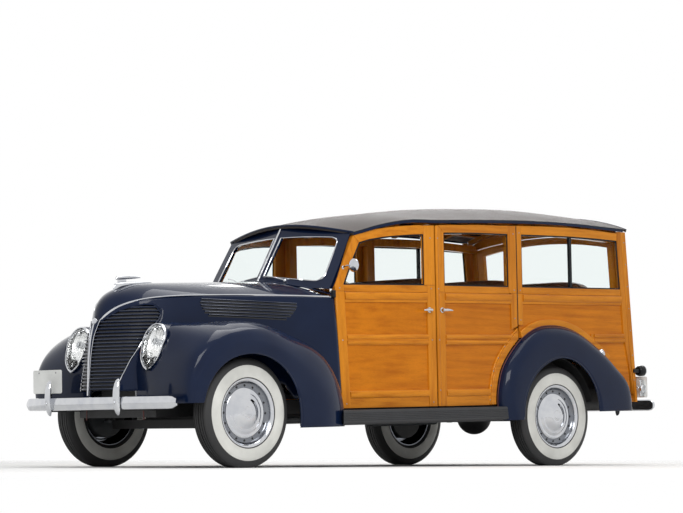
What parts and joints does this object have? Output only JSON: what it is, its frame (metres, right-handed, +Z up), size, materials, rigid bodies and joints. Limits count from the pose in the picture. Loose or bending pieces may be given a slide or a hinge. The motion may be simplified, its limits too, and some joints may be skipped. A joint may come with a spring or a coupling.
{
  "type": "wood-bodied station wagon",
  "caption": "Late-1930s four-door station wagon: wood body with side windows, steel nose and fenders, fabric roof, opening doors, hood and split tailgate, steered front wheels.",
  "frame": {"origin": "middle of the car's length and width, at the road", "axes": "+X to the tail, +Y to the car's right, +Z up"},
  "size_m": [4.8122, 1.7538, 1.8569],
  "materials": {
    "black": "satin",
    "chrome": "polished",
    "cream": "gloss",
    "glass": "clear",
    "iron": "rough",
    "leather": "brown",
    "paint": "gloss navy",
    "plate": "plain",
    "roof_cloth": "coated canvas",
    "rubber": "ribbed",
    "tyre": "matt, white sidewalls",
    "wheel": "gloss",
    "wood": "varnished"
  },
  "bodies": {
    "body": {"body_posts": "wood", "chassis_frame": "black", "cowl": "paint", "dashboard": "black", "engine_block": "iron", "exhaust": "black", "floor_pan": "wood", "front_axle": "black", "front_bumper": "chrome", "front_fenders": "paint", "front_seat": "leather", "fuel_tank": "black", "grille": "chrome", "headlights": "chrome", "leaf_springs": "black", "licence_plates": "plate", "middle_seat": "leather", "nose_panels": "paint", "quarter_glass": "glass", "quarter_panels": "wood", "radiator": "black", "rear_axle": "black", "rear_bumper": "chrome", "rear_fenders": "paint", "rear_seat": "leather", "roof": "roof_cloth", "running_boards": "rubber", "tail_frame": "wood", "tail_lamp": "chrome", "wheel_houses": "black", "windshield_glass": "glass"},
    "door_front_left": {"door_front_left": "wood", "glass_front_left": "glass", "door_mirror": "chrome"},
    "door_front_right": {"door_front_right": "wood", "glass_front_right": "glass"},
    "door_rear_left": {"door_rear_left": "wood", "glass_rear_left": "glass"},
    "door_rear_right": {"door_rear_right": "wood", "glass_rear_right": "glass"},
    "liftgate": {"liftgate": "wood", "liftgate_glass": "glass"},
    "tailgate": {"tailgate": "wood"},
    "hood": {"hood": "paint", "hood_ornament": "chrome"},
    "steering_wheel": {"steering_wheel": "cream"},
    "knuckle_left": {"knuckle_left": "black"},
    "knuckle_right": {"knuckle_right": "black"},
    "tie_rod": {"tie_rod": "black"},
    "wheel_front_left": {"tyre_front_left": "tyre", "wheel_front_left": "wheel"},
    "wheel_front_right": {"tyre_front_right": "tyre", "wheel_front_right": "wheel"},
    "wheel_rear_left": {"tyre_rear_left": "tyre", "wheel_rear_left": "wheel"},
    "wheel_rear_right": {"tyre_rear_right": "tyre", "wheel_rear_right": "wheel"}
  },
  "joints": [
    {"name": "door_front_left_hinge", "type": "hinge", "parent": "body", "child": "door_front_left", "pos_m": [-0.78212, -0.706, 0.82297], "axis": [0.0262, 0, -0.9997], "range_deg": [0, 65]},
    {"name": "door_front_right_hinge", "type": "hinge", "parent": "body", "child": "door_front_right", "pos_m": [-0.78212, 0.706, 0.82297], "axis": [-0.0262, 0, 0.9997], "range_deg": [0, 65]},
    {"name": "door_rear_left_hinge", "type": "hinge", "parent": "body", "child": "door_rear_left", "pos_m": [0.83333, -0.791, 0.86527], "axis": [-0.0262, 0, 0.9997], "range_deg": [0, 65]},
    {"name": "door_rear_right_hinge", "type": "hinge", "parent": "body", "child": "door_rear_right", "pos_m": [0.83333, 0.791, 0.86527], "axis": [0.0262, 0, -0.9997], "range_deg": [0, 65]},
    {"name": "liftgate_hinge", "type": "hinge", "parent": "body", "child": "liftgate", "pos_m": [1.97569, 0, 1.70146], "axis": [0, -1, 0], "range_deg": [0, 75]},
    {"name": "tailgate_hinge", "type": "hinge", "parent": "body", "child": "tailgate", "pos_m": [2.08435, 0, 0.64394], "axis": [0, 1, 0], "range_deg": [0, 90]},
    {"name": "hood_hinge", "type": "hinge", "parent": "body", "child": "hood", "pos_m": [-0.81142, 0, 1.25435], "axis": [0, 1, 0], "range_deg": [0, 45]},
    {"name": "steer_left", "type": "hinge", "parent": "body", "child": "knuckle_left", "pos_m": [-1.64887, -0.633, 0.347], "axis": [0, 0, 1], "range_deg": [-28, 28]},
    {"name": "steer_right", "type": "hinge", "parent": "body", "child": "knuckle_right", "pos_m": [-1.64887, 0.633, 0.347], "axis": [0, 0, 1], "range_deg": [-28, 28]},
    {"name": "tie_rod_eye", "type": "hinge", "parent": "knuckle_left", "child": "tie_rod", "pos_m": [-1.49887, -0.633, 0.289], "axis": [0, 0, 1], "range_deg": [-28, 28]},
    {"name": "steering_column", "type": "hinge", "parent": "body", "child": "steering_wheel", "pos_m": [-0.47983, -0.35, 1.07597], "axis": [0.8526, 0, 0.5225], "range_deg": [-480, 480]},
    {"name": "roll_front_left", "type": "hinge", "parent": "knuckle_left", "child": "wheel_front_left", "pos_m": [-1.64887, -0.705, 0.347], "axis": [0, 1, 0], "continuous": true},
    {"name": "roll_front_right", "type": "hinge", "parent": "knuckle_right", "child": "wheel_front_right", "pos_m": [-1.64887, 0.705, 0.347], "axis": [0, 1, 0], "continuous": true},
    {"name": "roll_rear_left", "type": "hinge", "parent": "body", "child": "wheel_rear_left", "pos_m": [1.19613, -0.74, 0.347], "axis": [0, 1, 0], "continuous": true},
    {"name": "roll_rear_right", "type": "hinge", "parent": "body", "child": "wheel_rear_right", "pos_m": [1.19613, 0.74, 0.347], "axis": [0, 1, 0], "continuous": true}
  ],
  "couplings": [
    {"joint": "steer_right", "follows": "steer_left", "ratio": 1},
    {"joint": "tie_rod_eye", "follows": "steer_left", "ratio": -1},
    {"joint": "steering_column", "follows": "steer_left", "ratio": 17}
  ]
}
